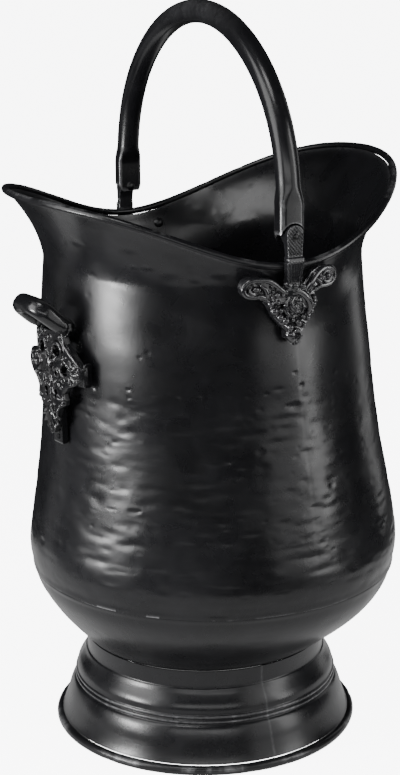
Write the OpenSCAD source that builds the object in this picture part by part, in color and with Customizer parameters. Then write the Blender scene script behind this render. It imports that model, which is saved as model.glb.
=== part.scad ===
// Footed coal scuttle: lofted barrel and bowl, spun foot, swinging bail, cast ears and rear handle.
// +Z up, +X towards the pouring lip. Origin: centre of the foot, in the plane it stands on.

/* [Body] */
// Radius of the barrel wall above the waist
wall_r = 126.7; // [110:0.1:140]
// Sheet thickness of barrel and bowl
sheet_t = 1.3; // [0.8:0.1:2.5]
// Height of the lap seam between bowl and barrel
seam_z = 140; // [130:1:150]
// Height over which the mouth flares outward
flare_h = 57; // [40:1:80]
// Radius of the rolled bead on the rim
bead_r = 2.9; // [1.5:0.1:4]

/* [Foot] */
// Radius of the foot's neck, where the bowl sits
neck_r = 98.8; // [90:0.1:105]
// Height of the neck's upper edge
neck_z = 76.9; // [60:0.1:90]
// Centre radius of the rolled hem the foot stands on
hem_R = 121.5; // [110:0.1:135]
// Radius of the rolled hem
hem_r = 3.9; // [2:0.1:6]

/* [Bail] */
// Height of the hinge line
pivot_z = 428.3; // [420:0.1:440]
// Radius of the bail's top arc
top_R = 140.5; // [120:0.1:160]
// Half angle of the top arc
top_a = 50.5; // [40:0.1:60]
// Height of the top arc's centre
top_z = 439.9; // [430:0.1:450]
// Radius of the two side arcs
side_R = 121.5; // [100:0.1:140]
// Radius of the bail's tube
tube_r = 9.1; // [6:0.1:12]
// Wall of the bail's tube
tube_t = 1.3; // [0.8:0.1:2.5]
// Inner face of the channel at each end of the bail, from the middle
chan_in = 131.8; // [125:0.1:140]
// Outer face of the channel
chan_out = 144.6; // [140:0.1:155]
// Half width of the channel
chan_w = 10.2; // [8:0.1:12]
// Rounding of the channel's outer corners
chan_c = 4; // [1.5:0.1:5]
// Radius of the hinge pins
pin_r = 2; // [1.5:0.05:4]
// Running clearance between pin and lug
pin_gap = 0.06; // [0.02:0.01:0.1]

/* [Castings] */
// Outer face of the ear's wings
wing_R = 144.3; // [141:0.1:148]
// Outer face of the lug at the hinge
lug_R = 146.6; // [144:0.1:148]
// Direction of the rear handle, seen from above
rear_a = 188; // [170:1:200]
// Outer face of the pierced rear plate
plate_R = 143; // [138:0.1:150]
// Thickness of the rear plate
plate_t = 5; // [3:0.1:8]

/* [Hidden] */
$fn = 48;
iron = "#26272b";
sheet = "#2e2f33";
n_round = 64;
rivet_x = 25.6;
rivet_z = 394.5;
side_y = (top_R - side_R) * sin(top_a);
side_z = top_z + (top_R - side_R) * cos(top_a);
end_a = 84;
end_y = side_y + side_R * sin(end_a);
end_z = side_z + side_R * cos(end_a);
chan_top = 449;
knuckle_w = 18.4;
knuckle_z = 355.4;
grip_tilt = 44;

// ---------- body surface ----------
// Side view of the barrel and the bowl's flank: height, radius.
belly = [[77, 97.4], [92, 116.8], [108, 132.9], [125, 144.2], [142, 149.4], [160, 151.5],
    [185, 148.2], [215, 143.3], [250, 137.9], [290, 133.6], [335, 131.4], [392, wall_r]];
function slope(k) =
    let (a = max(k - 1, 0), b = min(k + 1, len(belly) - 1))
    (belly[b][1] - belly[a][1]) / (belly[b][0] - belly[a][0]);
function piece(z, k = 0) = (k >= len(belly) - 2 || z < belly[k + 1][0]) ? k : piece(z, k + 1);
function curve(z) =
    let (k = piece(z), h = belly[k + 1][0] - belly[k][0], t = (z - belly[k][0]) / h)
    (2 * t * t * t - 3 * t * t + 1) * belly[k][1] + (t * t * t - 2 * t * t + t) * h * slope(k)
    + (3 * t * t - 2 * t * t * t) * belly[k + 1][1] + (t * t * t - t * t) * h * slope(k + 1);
function plain_r(z) = z >= 392 ? wall_r : curve(z);
// The saddle-shaped rim: low at the ears, high at the lip and behind.
function rim_r(a) = 146.5 + 7.4 * cos(2 * a) - 2.4 * cos(3 * a) - 1.1 * cos(4 * a) + 0.9 * cos(5 * a);
function rim_z(a) = 435.9 + 6.4 * cos(a) + 26.1 * cos(2 * a) + 1.9 * cos(3 * a) - 4 * cos(4 * a);
function flare(a, z) = (rim_r(a) - wall_r) * pow(max(0, 1 - (rim_z(a) - z) / flare_h), 1.75);
function out_r(a, z) = plain_r(z) + flare(a, z);
// The belly sits a little forward of the foot.
function lean(z) =
    z < 78 ? 0
    : z < 122 ? 8.2 * (1 - pow(1 - (z - 78) / 44, 2))
    : z < 185 ? 8.2
    : z < 395 ? 8.2 * pow(cos(90 * (z - 185) / 210), 2) : 0;
// Moves point k of a profile inward by t, square to the curve.
function inward(p, k, t) =
    let (a = p[max(k - 1, 0)], b = p[min(k + 1, len(p) - 1)], d = b - a, l = norm(d))
    [p[k][0] - t * d[1] / l, p[k][1] + t * d[0] / l];
function placed(q, a) = [lean(q[1]) + q[0] * cos(a), q[0] * sin(a), q[1]];
function barrel_top(a) =
    let (m = 1.75 * (rim_r(a) - wall_r) / flare_h) rim_z(a) - (bead_r + 0.25) / sqrt(1 + m * m);
steps = [0, 0.045, 0.14, 0.24, 0.35, 0.47, 0.59, 0.69, 0.78, 0.845, 0.895, 0.935, 0.97, 1];
function barrel_side(a) = [for (s = steps) let (z = seam_z - 1 + (barrel_top(a) - seam_z + 1) * s)
    [out_r(a, z), z]];
bowl_z = [83, 90, 98, 107, 116, 125, 134, 139];
lap = sheet_t + 0.25;
function bowl_side() = concat([[60, 70.5], [80, 71.2], [90, 73.2], [97.3, 77]],
    [for (z = bowl_z) [curve(z) - (z > 134 ? lap : 0), z]],
    [[curve(seam_z + 8) - lap - 0.5, seam_z + 8]]);

// A ring-shaped skin: the outer profile upward, then the inner one back down, closed at both ends.
module skin(outer, inner, n) {
    m = len(outer[0]);
    pts = [for (j = [0 : n - 1]) let (a = 360 * j / n)
        for (k = [0 : 2 * m - 1]) placed(k < m ? outer[j][k] : inner[j][2 * m - 1 - k], a)];
    c = 2 * m;
    tris = [for (j = [0 : n - 1]) for (k = [0 : c - 1])
        let (p = j * c + k, q = j * c + (k + 1) % c, r = ((j + 1) % n) * c + k,
            s = ((j + 1) % n) * c + (k + 1) % c)
        for (f = [[p, q, s], [p, s, r]]) f];
    polyhedron(pts, tris, convexity = 8);
}

module barrel() {
    color(sheet)
    difference() {
        skin([for (j = [0 : n_round - 1]) barrel_side(360 * j / n_round)],
            [for (j = [0 : n_round - 1]) let (p = barrel_side(360 * j / n_round))
                [for (k = [0 : len(p) - 1]) inward(p, k, sheet_t)]], n_round);
        for (k = [0, 1]) mirror([0, k, 0]) ear_spots() cylinder(r = 2.05, h = 60, center = true);
        rear_spots() cylinder(r = 2.05, h = 60, center = true);
    }
}

// The bowl's skin with a flat floor: one profile turned round the leaning axis.
module bowl() {
    p = bowl_side();
    q = [for (k = [0 : len(p) - 1]) inward(p, k, sheet_t)];
    m = len(p);
    n = n_round;
    pts = [for (j = [0 : n - 1]) for (k = [0 : 2 * m - 1])
        placed(k < m ? p[k] : q[2 * m - 1 - k], 360 * j / n)];
    c = 2 * m;
    tris = [for (j = [0 : n - 1]) for (k = [0 : c - 2])
        let (a = j * c + k, b = a + 1, d = ((j + 1) % n) * c + k)
        for (f = [[a, b, d + 1], [a, d + 1, d]]) f];
    floors = [[for (j = [0 : n - 1]) j * c], [for (j = [0 : n - 1]) (n - 1 - j) * c + c - 1]];
    color(sheet) polyhedron(pts, concat(tris, floors), convexity = 8);
}

// Rolled bead that follows the rim.
module rim_wire() {
    n = 96;
    m = 8;
    pts = [for (j = [0 : n - 1]) let (a = 360 * j / n) for (k = [0 : m - 1])
        let (b = 360 * (k + 0.5) / m, r = rim_r(a) + bead_r * cos(b))
        [r * cos(a), r * sin(a), rim_z(a) + bead_r * sin(b)]];
    tris = [for (j = [0 : n - 1]) for (k = [0 : m - 1])
        let (p = j * m + k, q = j * m + (k + 1) % m, r = ((j + 1) % n) * m + k,
            s = ((j + 1) % n) * m + (k + 1) % m)
        for (f = [[p, q, s], [p, s, r]]) f];
    color(sheet) polyhedron(pts, tris, convexity = 6);
}

// ---------- foot ----------
foot_line = [[neck_r, neck_z], [neck_r - 0.2, 64.5], [99.8, 62], [101.2, 58.8], [103.3, 55.2],
    [105.5, 51.7], [107, 48.1], [107.6, 44.2], [108.4, 43.2], [108.8, 42.1], [108.4, 41],
    [107.9, 40.2], [108.9, 39.3], [109.4, 38.2], [108.9, 37.1], [108.4, 36.2], [110.3, 34.4], [112.1, 31],
    [114, 26], [115.8, 20], [117.8, 14], [119.4, 10], [120.6, 7.6]];

module foot_ring() {
    t = 1.4;
    color(sheet)
    rotate_extrude()
        polygon(concat(foot_line, [for (k = [len(foot_line) - 1 : -1 : 0]) foot_line[k] - [t, 0]]));
}

// Rolled hem, flattened where it stands on the floor.
module foot_hem() {
    color(sheet)
    rotate_extrude()
        difference() {
            translate([hem_R, hem_r - 0.5]) circle(r = hem_r);
            translate([hem_R - 10, -10]) square([20, 10]);
        }
}

// ---------- ears ----------
// A spot on a cylinder of radius R about the upright axis, s along it, facing outward.
module at(s, z, R) {
    rotate([0, 0, s / R * 180 / PI]) translate([0, -R, z]) rotate([90, 0, 0]) children();
}
// A spot on the outside of the body in direction a, facing square to the sheet.
module on_wall(a, z) {
    m = (out_r(a, z + 1) - out_r(a, z - 1)) / 2;
    translate([lean(z) + out_r(a, z) * cos(a), out_r(a, z) * sin(a), z])
        rotate([0, 90 + atan(m), a]) children();
}
// An upright outline in x and z, kept between two radii.
module shell(R0, R1) {
    intersection() {
        translate([0, -R0 * 0.6, 0]) rotate([90, 0, 0]) linear_extrude(height = R1) children();
        rotate_extrude() translate([R0, 330]) square([R1 - R0, 100]);
    }
}
// A round bar between two points.
module rod(p, q, r) {
    d = q - p;
    translate(p) rotate([0, acos(d[2] / norm(d)), atan2(d[1], d[0])]) cylinder(r = r, h = norm(d));
}
// The same, from radius r0 at p to r1 at q.
module taper(p, q, r0, r1) {
    d = q - p;
    translate(p) rotate([0, acos(d[2] / norm(d)), atan2(d[1], d[0])])
        cylinder(r1 = r0, r2 = r1, h = norm(d));
}
module bud(r) { sphere(r = r); }
// A low round head of radius r and height h.
module dome(r, h) {
    q = (r * r + h * h) / (2 * h);
    intersection() {
        translate([0, 0, h - q]) sphere(r = q);
        cylinder(r = r + 1, h = h + 1);
    }
}
// A bar bent through angle a round a centre, with a bud at its inner end.
module scroll(R, r, a, b) {
    rotate_extrude(angle = a) translate([R, 0]) circle(r = r);
    translate([R, 0, 0.1]) bud(b);
    rotate([0, 0, a]) translate([R, 0, 0.15]) bud(r * 1.25);
}
module wing_left(d = 0) {
    translate([-32.6, 392.8]) circle(r = 7.8 - d);
    polygon([[-33, 400.6 - d], [-27, 400.6 - d], [-20, 398 - d], [-14, 393.9 - d], [-9, 390.4],
        [-4, 388], [-5, 380], [-18, 380.6 + d], [-23, 382.6 + d], [-29, 385.2 + d], [-33, 385 + d]]);
}
module wing_right(d = 0) {
    translate([29, 396.4]) circle(r = 7.7 - d);
    polygon([[29, 404.1 - d], [22, 404.4 - d], [15.5, 401.4 - d], [11, 396], [7.5, 391], [4, 388],
        [6, 380], [18.5, 386.4 + d], [23, 388.8 + d], [29, 388.7 + d]]);
}
module drop() {
    polygon([[-18.5, 383], [-19.6, 379.5], [-16.6, 375], [-13.6, 369], [-8.4, 363], [-3.4, 358],
        [0.4, 353.4], [2, 348.8], [5, 346.6], [8.4, 349.4], [9.6, 354.4], [11.8, 359.6],
        [16.8, 366.4], [20.8, 372.6], [22.6, 378.6], [20.6, 386], [8, 391.5], [-8, 391.5]]);
}
// Side view of the lug: distance from the middle, height.
module lug_side() {
    polygon([[lug_R, 440], [lug_R, 414], [148.3, 412.8], [148.3, 410.2], [147.2, 409.2],
        [145.2, 391], [144, 384], [137.6, 384], [139.6, 396], [141.3, 401], [141.3, 418],
        [140.2, 422.6], [137.4, 426.4], [134.3, 430], [134.3, 440]]);
}
module lug_front(d = 0) {
    translate([0, 430]) circle(r = 6.8 - d);
    polygon([[d - 6.8, 430], [d - 6.3, 421], [d - 6, 413.6], [-6.4 + d, 412.6], [-6.4 + d, 409.4],
        [-5.7, 391], [-5.7, 384], [5.7, 384], [5.7, 391], [6.4 - d, 409.4], [6.4 - d, 412.6],
        [6 - d, 413.6], [6.3 - d, 421], [6.8 - d, 430]]);
}
module ribs() {
    intersection() {
        lug_front(0.5);
        translate([-10, 414.8]) square([20, 24]);
        difference() {
            union() for (k = [-7 : 7])
                translate([0, 425 + 2.75 * k]) rotate([0, 0, -48]) square([40, 1], center = true);
            translate([0, pivot_z]) circle(r = 3.1);
        }
    }
}
// Berries and buds of the drop: along the face, height, radius of the bud.
berries = [[-17.4, 379.2, 2.6], [-12, 379.6, 2.8], [-13.8, 373.8, 3.6], [-9.2, 370.8, 2.8],
    [-7.2, 366, 3.4], [-2.6, 362.2, 2.6], [0.3, 367.6, 2.2], [5.2, 366, 2.4], [11, 368.2, 2.2],
    [14.2, 371.2, 2.7], [18.6, 373.4, 2.4], [20.4, 378.2, 2.7], [9.8, 361.8, 2.3]];

// Places its child square to the wall at each rivet of an ear.
module ear_spots() {
    for (x = [-rivet_x, rivet_x]) on_wall(270 + asin(x / 134), rivet_z) children();
}
module ear() {
    difference() {
        union() {
            intersection() {
                rotate([90, 0, 0]) linear_extrude(height = 160) lug_front();
                rotate([90, 0, -90]) linear_extrude(height = 20, center = true) lug_side();
            }
            // reeding on the lug, flutes below the band
            translate([0, 0.3 - lug_R, 0]) rotate([90, 0, 0]) linear_extrude(height = 0.85) ribs();
            for (k = [-2.5 : 1 : 2.5])
                rod([k * 2.4, -146.9, 409.6], [k * 1.9, -144.9, 390], 0.85);
            shell(wing_R - 5.2, wing_R - 1.2) { wing_left(); wing_right(); }
            shell(wing_R - 2, wing_R) {
                difference() { wing_left(); wing_left(1.7); }
                difference() { wing_right(); wing_right(1.7); }
            }
            shell(134.6, 140.2) drop();
            // web that carries the drop on the wall
            rotate([90, 0, -90]) translate([0, 0, -7]) linear_extrude(height = 10)
                polygon([[131.9, 352], [131.9, 370], [133.6, 384], [137, 386], [137, 352]]);
            ear_spots() translate([0, 0, 0.35]) cylinder(r = 4.6, h = 8);
            // rosette
            at(4.8, 381, 140.6) {
                rotate([0, 0, 150]) scroll(8.6, 2.1, 300, 2.8);
                cylinder(r = 7.4, h = 2.4);
                translate([0, 0, 2]) bud(3.4);
                for (k = [0 : 5]) rotate([0, 0, 60 * k]) translate([5, 0, 1.9]) bud(1.8);
            }
            at(4.8, 381, 135) cylinder(r = 9.6, h = 6);
            for (b = berries) at(b[0], b[1], 139.9) bud(b[2]);
            // bud in a ring at the root of the left wing, leaf in each wing
            at(-15.2, 386.2, 142.2) { scroll(3.6, 1.3, 290, 1.8); bud(2.2); }
            at(-27.5, 391.2, wing_R - 1.3) {
                for (k = [-2 : 2]) rotate([0, 0, 186 + 27 * k]) rod([1.2, 0, 0], [6.6, 0, 0], 0.9);
                bud(2.5);
            }
            at(23.6, 394.6, wing_R - 1.4) {
                for (k = [-2 : 2]) rotate([0, 0, 22 + 26 * k]) rod([1.6, 0, 0], [7.4, 0, 0], 0.9);
                bud(2.5);
            }
            // ribbed shell at the foot of the drop
            at(0.6, 355, 139) bud(4.4);
            at(3.6, 352.6, 139.8) {
                for (k = [-2 : 2]) rotate([0, 0, -70 + 26 * k]) rod([1.1, 0, 0], [6, 0, 0], 1);
                bud(2.3);
            }
            // knobs where the lug grows out of the plaque
            for (x = [-5.6, 5.6]) translate([x, -143.4, 393.4]) bud(2.2);
        }
        translate([0, -125, pivot_z]) rotate([90, 0, 0]) cylinder(r = pin_r + pin_gap, h = 40);
        ear_spots() cylinder(r = 2.05, h = 7.2);
    }
}
module ear_near() { color(iron) ear(); }
module ear_far() { color(iron) mirror([0, 1, 0]) ear(); }

// Rivets from inside the wall into a casting.
module rivet() {
    translate([0, 0, -sheet_t - 1]) cylinder(r = 2, h = sheet_t + 8);
    translate([0, 0, -sheet_t - 0.45]) mirror([0, 0, 1]) dome(4.2, 2);
}
module ear_rivets() { ear_spots() rivet(); }
module ear_rivets_near() { color(iron) ear_rivets(); }
module ear_rivets_far() { color(iron) mirror([0, 1, 0]) ear_rivets(); }

// ---------- rear handle ----------
// A spot behind the body: w along the plate, z up, facing outward at radius R.
module rear(w, z, R) {
    rotate([0, 0, rear_a + w / R * 180 / PI]) translate([R, 0, z]) rotate([90, 0, 90]) children();
}
module rear_shell(R0, R1) {
    rotate([0, 0, rear_a]) intersection() {
        translate([R0 * 0.7, 0, 0]) rotate([90, 0, 90]) linear_extrude(height = R1) children();
        rotate_extrude() translate([R0, 250]) square([R1 - R0, 120]);
    }
}
side_near = [[0, 350], [12, 350], [13.5, 355], [18, 360], [23.6, 358.4], [24.4, 353], [20.6, 347.6],
    [22.4, 342.6], [28.4, 336], [34, 331], [37.4, 325.6], [37, 317], [31, 312], [23, 308.4],
    [18, 303.4], [19.6, 298.4], [19, 294.6], [12.5, 290.8], [9, 284], [8, 277], [3, 270], [0, 268.6]];
side_far = [[0, 350], [-12, 350], [-13.5, 355], [-18, 360], [-23.4, 358.4], [-24, 353], [-19.4, 348.6],
    [-18.4, 341], [-19.4, 334], [-23, 331], [-33, 330.6], [-37, 327], [-37.6, 319], [-34, 313.6],
    [-25, 310.4], [-19, 306.6], [-18, 303.4], [-19.6, 298.4], [-19, 294.6], [-12.5, 290.8],
    [-9, 284], [-8, 277], [-3, 270], [0, 268.6]];
module both() { children(); mirror([1, 0]) children(); }
module flip(k) { mirror([k < 0 ? 1 : 0, 0, 0]) children(); }
module plate_holes() {
    both() {
        translate([10.6, 333.6]) circle(r = 4);
        translate([10.9, 338.4]) circle(r = 3.4);
        translate([20, 322.2]) circle(r = 4.2);
        translate([23.4, 327]) circle(r = 2);
        translate([8.4, 317.4]) circle(r = 2.4);
        translate([7, 303]) circle(r = 2.2);
        translate([6.4, 299.2]) circle(r = 1.7);
    }
}
// Places its child square to the wall at each rivet of the rear plate.
module rear_spots() {
    for (w = [-13.2, 13.2]) on_wall(rear_a + w, 319.5) children();
    on_wall(rear_a, 265) children();
}
// Places its child square to the plate at a knuckle of the grip, h out from the plate's face.
module knuckle(k, h) {
    rear(knuckle_w * k, knuckle_z, plate_R) translate([0, 0, h]) children();
}

module rear_plate() {
    color(iron)
    difference() {
        union() {
            rear_shell(plate_R - plate_t, plate_R - 1) difference() {
                union() {
                    polygon(side_near);
                    polygon(side_far);
                }
                plate_holes();
            }
            // side feet
            for (k = [-1, 1]) rotate([0, 0, rear_a + (k < 0 ? -15.6 : 10.8)])
                rotate_extrude(angle = 4.8) polygon([[130.9, 312], [130.9, 327], [133, 329],
                    [138, 329], [139.6, 327.4], [139.6, 312], [138, 310.4], [133, 310.4]]);
            // strap that comes down the wall
            rotate([0, 0, rear_a - 2.7]) rotate_extrude(angle = 5.4)
                polygon([[131.4, 260], [131.4, 296], [138.6, 296], [138.6, 284], [137.2, 279],
                    [136.8, 261], [136, 260]]);
            // relief on the face
            for (k = [-1, 1]) {
                rear(10.7 * k, 335.8, plate_R - 1) flip(k) scroll(5.4, 1.2, 320, 1.7);
                rear(20 * k, 322.2, plate_R - 1) flip(k) rotate([0, 0, 120]) scroll(5.3, 1.3, 300, 1.8);
                rear(30.6 * k, 319.6, plate_R - 1.2) flip(k) {
                    for (j = [-2 : 2]) rotate([0, 0, 20 + 24 * j]) rod([1, 0, 0], [5.6, 0, 0], 1.1);
                    bud(2.3);
                }
                rear(15.4 * k, 347, plate_R - 1.2) bud(2.6);
                rear(25 * k, 312.4, plate_R - 1.2) bud(1.8);
                rear(13.8 * k, 311, plate_R - 1.2) flip(k) rotate([0, 0, 40]) scroll(3.4, 1, 250, 1.5);
                rear(16.4 * k, 296, plate_R - 1.2) bud(2);
                rear(12.6 * k, 292.8, plate_R - 1.2) bud(1.8);
            }
            rear(0, 325, plate_R - 1.6) bud(4);
            rear(0, 318.6, plate_R - 1.4) bud(2.8);
            for (k = [-1, 1]) rear(0, 309, plate_R - 1)
                translate([8.6 * k, 0, 0]) rotate([0, 0, k > 0 ? 150 : -30]) scroll(10, 1.1, 60, 1.3);
            for (k = [-4 : 4]) rear(0, 286, plate_R - 1.4)
                rotate([0, 0, -90 + 25 * k]) rod([2.4, 0, 0], [abs(k) > 3 ? 9 : 13.4, 0, 0], 1.2);
            rear(0, 287, plate_R - 1.4) bud(3);
            rear(0, 344.6, plate_R - 1.4) bud(2.6);
        }
        rear_spots() cylinder(r = 2.05, h = 7.2);
        for (k = [-1, 1]) knuckle(k, -plate_t - 5) cylinder(r = 2.05, h = 20);
        // flat seats for the knuckles of the grip
        for (k = [-1, 1]) knuckle(k, -2.2) cylinder(r = 6.8, h = 10);
    }
}
module rear_rivets() { color(iron) rear_spots() rivet(); }

// Fixed loop grip: two knuckles, two arms that rise outward, a thick rounded bar.
module rear_grip() {
    color(iron)
    difference() {
        union() {
            for (k = [-1, 1]) knuckle(k, -2.1) bud(6.2);
            rear(0, knuckle_z, plate_R - 2.1) rotate([90 - grip_tilt, 0, 0]) {
                for (k = [-1, 1]) {
                    taper([17.4 * k, 1.2, 1], [14 * k, 21.8, 0.8], 5.2, 6.3);
                    translate([14 * k, 21.8, 0.8]) bud(6.36);
                }
                translate([0, 24.4, 1]) rotate([0, 90, 0]) linear_extrude(height = 28, center = true)
                    capsule();
                for (k = [-1, 1]) translate([14 * k, 24.4, 1]) {
                    translate([0, 0, 1.6]) bud(5.32);
                    translate([0, 0, -1.6]) bud(5.32);
                    translate([0, 0, -1.6]) cylinder(r = 5.28, h = 3.2);
                }
            }
        }
        for (k = [-1, 1]) {
            knuckle(k, -5) cylinder(r = 2.05, h = 7);
            knuckle(k, -12.1) translate([-9, -20, 0]) cube([18, 32, 10]);
        }
    }
}
module capsule() {
    translate([1.6, 0]) circle(r = 5.3);
    translate([-1.6, 0]) circle(r = 5.3);
    square([3.2, 10.6], center = true);
}
module grip_rivets() {
    color(iron) for (k = [-1, 1]) {
        knuckle(k, -plate_t - 1) cylinder(r = 2, h = plate_t + 2.6);
        knuckle(k, -plate_t - 0.3) mirror([0, 0, 1]) dome(3.6, 1.6);
    }
}

// ---------- bail ----------
module arc(R, r0, a0, a1) {
    rotate([90, 0, 90]) rotate([0, 0, a0]) rotate_extrude(angle = a1 - a0) translate([R, 0])
        circle(r = r0);
}
// The bow of the bail, drawn solid with radius r: a top arc and two tangent side arcs.
module bow(r) {
    translate([0, 0, top_z]) arc(top_R, r, 90 - top_a, 90 + top_a);
    for (k = [0, 1]) mirror([0, k, 0])
        translate([0, side_y, side_z]) arc(side_R, r - 0.03, 90 - end_a, 90.5 - top_a);
}
// Cross-section of the channel at an end of the bail, less d all round.
module channel(d) {
    w = chan_w - d;
    a = chan_in + d;
    b = chan_out - d;
    c = chan_c - d;
    polygon([[-w, a + 1], [1 - w, a], [w - 1, a], [w, a + 1], [w, b - c], [w - 0.29 * c, b - 0.29 * c],
        [w - c, b], [c - w, b], [0.29 * c - w, b - 0.29 * c], [-w, b - c]]);
}
// The tube flattens from round to the channel's shape: point b of the ring at t, less d all round.
function power(x, e) = x == 0 ? 0 : sign(x) * pow(abs(x), e);
function neck_point(t, b, d) =
    let (e = 2 / (2 + 7 * max(0, t)), hx = tube_r + (chan_w - tube_r) * t - d,
        hy = tube_r + ((chan_out - chan_in) / 2 - tube_r) * t - d,
        y = hy * power(sin(b), e), lift = (90 - end_a) * (1 - t))
    [hx * power(cos(b), e),
        end_y + ((chan_in + chan_out) / 2 - end_y) * t + y * cos(lift),
        end_z + (chan_top - end_z) * t + y * sin(lift)];
module bail_neck(d, t0, t1) {
    n = 36;
    m = 5;
    pts = [for (i = [0 : m]) for (j = [0 : n - 1])
        let (t = t0 + (t1 - t0) * i / m) neck_point(t, 360 * j / n, d)];
    tris = [for (i = [0 : m - 1]) for (j = [0 : n - 1])
        let (p = i * n + j, q = i * n + (j + 1) % n)
        for (f = [[p, q, q + n], [p, q + n, p + n]]) f];
    ends = [[for (j = [0 : n - 1]) n - 1 - j], [for (j = [0 : n - 1]) m * n + j]];
    polyhedron(pts, concat(tris, ends), convexity = 4);
}
module bail_end() {
    bail_neck(-0.12, -0.03, 1);
    translate([0, 0, 429.2]) linear_extrude(height = chan_top - 428.9) channel(0);
    translate([0, chan_in + 1.4, 0]) rotate([90, 0, 0]) linear_extrude(height = 1.4)
        polygon([[-chan_w, 431], [-chan_w, 430], [-7.2, 424.6], [7.2, 424.6],
            [chan_w, 430], [chan_w, 431]]);
}
module bail_hollow() {
    bail_neck(tube_t - 0.1, -0.04, 1.03);
    translate([0, 0, 425]) linear_extrude(height = chan_top - 425) channel(1.45);
    // arch cut in the outer face, so the lug shows
    translate([0, 155, pivot_z]) rotate([90, 0, 0]) cylinder(r = 9.4, h = 155 - chan_out + 5.2);
    // crease down the outer face
    translate([-0.4, chan_out - 0.35, 430]) cube([0.8, 2, 19]);
    translate([0, 0, pivot_z]) rotate([-90, 0, 0]) cylinder(r = 2.04, h = 140);
}
module bail() {
    color(iron)
    difference() {
        union() {
            bow(tube_r);
            for (k = [0, 1]) mirror([0, k, 0]) bail_end();
        }
        bow(tube_r - tube_t);
        for (k = [0, 1]) mirror([0, k, 0]) bail_hollow();
    }
}
module pin() {
    translate([0, chan_in - 0.6, pivot_z]) rotate([-90, 0, 0])
        cylinder(r = pin_r, h = lug_R + 0.7 - chan_in);
    translate([0, lug_R + 0.1, pivot_z]) rotate([-90, 0, 0]) dome(2.7, 1.2);
    translate([0, chan_in - 0.05, pivot_z]) rotate([90, 0, 0]) dome(3.6, 1.5);
}
module pin_far() { color(iron) pin(); }
module pin_near() { color(iron) mirror([0, 1, 0]) pin(); }

barrel();
bowl();
rim_wire();
foot_ring();
foot_hem();
ear_near();
ear_far();
ear_rivets_near();
ear_rivets_far();
rear_plate();
rear_grip();
rear_rivets();
grip_rivets();
bail();
pin_near();
pin_far();
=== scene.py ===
import math

import bpy
import numpy as np
from mathutils import Matrix, Vector


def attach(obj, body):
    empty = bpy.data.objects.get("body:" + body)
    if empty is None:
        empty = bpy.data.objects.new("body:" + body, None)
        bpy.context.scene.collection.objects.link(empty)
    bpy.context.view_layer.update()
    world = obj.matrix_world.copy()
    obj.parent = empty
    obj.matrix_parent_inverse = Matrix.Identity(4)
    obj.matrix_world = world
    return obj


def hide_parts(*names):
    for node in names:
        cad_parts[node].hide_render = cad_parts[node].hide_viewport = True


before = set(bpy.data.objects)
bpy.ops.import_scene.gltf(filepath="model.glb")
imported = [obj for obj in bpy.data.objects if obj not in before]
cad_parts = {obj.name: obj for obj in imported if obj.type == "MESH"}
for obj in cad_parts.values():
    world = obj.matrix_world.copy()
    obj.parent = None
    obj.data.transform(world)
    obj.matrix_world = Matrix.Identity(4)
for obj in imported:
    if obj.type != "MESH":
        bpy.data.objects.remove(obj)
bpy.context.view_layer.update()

MM = 0.001

# ------------------------ camera
PICTURE_H = 775                              # pixels
FOCAL = 1743.6                               # focal length in pixels of the picture
SENSOR = 36.0
CAMERA_AT = (-0.6239, -1.2114, 0.6520)
PITCH, YAW, ROLL, AZ = (math.radians(v) for v in (15.197, -0.102, -0.431, -27.25))
forward = Vector((math.sin(YAW) * math.cos(PITCH), math.cos(YAW) * math.cos(PITCH), -math.sin(PITCH)))
level = Vector((math.cos(YAW), -math.sin(YAW), 0))
above = Vector((math.sin(YAW) * math.sin(PITCH), math.cos(YAW) * math.sin(PITCH), math.cos(PITCH)))
right = level * math.cos(ROLL) + above * math.sin(ROLL)
up = above * math.cos(ROLL) - level * math.sin(ROLL)
turn = Matrix.Rotation(AZ, 4, "Z")
right, up, forward = (turn @ v for v in (right, up, forward))
cam_data = bpy.data.cameras.new("camera")
cam_data.sensor_fit = "AUTO"
cam_data.sensor_width = SENSOR
cam_data.lens = FOCAL / PICTURE_H * SENSOR
cam_data.clip_start = 0.05
cam = bpy.data.objects.new("camera", cam_data)
cam.matrix_world = Matrix((
    (right.x, up.x, -forward.x, CAMERA_AT[0]),
    (right.y, up.y, -forward.y, CAMERA_AT[1]),
    (right.z, up.z, -forward.z, CAMERA_AT[2]),
    (0, 0, 0, 1)))
bpy.context.scene.collection.objects.link(cam)
bpy.context.scene.camera = cam


# ------------------------ mesh helpers
def mesh_object(name, verts, faces, wear=None, sharp=None):
    """A smooth-shaded mesh from points in mm (n, 3) and one or more arrays of faces (m, 3) or (m, 4).

    wear gives a value from 0 to 1 at each point for worn paint, on some pieces also for painted highlights; sharp
    the angle in degrees from which an edge is hard.
    """
    faces = faces if isinstance(faces, list) else [faces]
    me = bpy.data.meshes.new(name)
    verts = np.asarray(verts, np.float64) * MM
    me.vertices.add(len(verts))
    me.vertices.foreach_set("co", verts.astype(np.float32).ravel())
    loops = np.concatenate([np.asarray(f, np.int32).ravel() for f in faces])
    sizes = np.concatenate([np.full(len(f), np.asarray(f).shape[1], np.int32) for f in faces])
    me.loops.add(len(loops))
    me.loops.foreach_set("vertex_index", loops)
    me.polygons.add(len(sizes))
    me.polygons.foreach_set("loop_start", np.concatenate([[0], np.cumsum(sizes)[:-1]]).astype(np.int32))
    me.polygons.foreach_set("loop_total", sizes)
    me.update(calc_edges=True)
    me.validate()
    me.polygons.foreach_set("use_smooth", np.ones(len(me.polygons), bool))
    if sharp:
        me.set_sharp_from_angle(angle=math.radians(sharp))
    if wear is not None:
        at = me.attributes.new("wear", "FLOAT", "POINT")
        at.data.foreach_set("value", np.clip(wear, 0, 1).astype(np.float32))
    ob = bpy.data.objects.new(name, me)
    bpy.context.scene.collection.objects.link(ob)
    return ob


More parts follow.
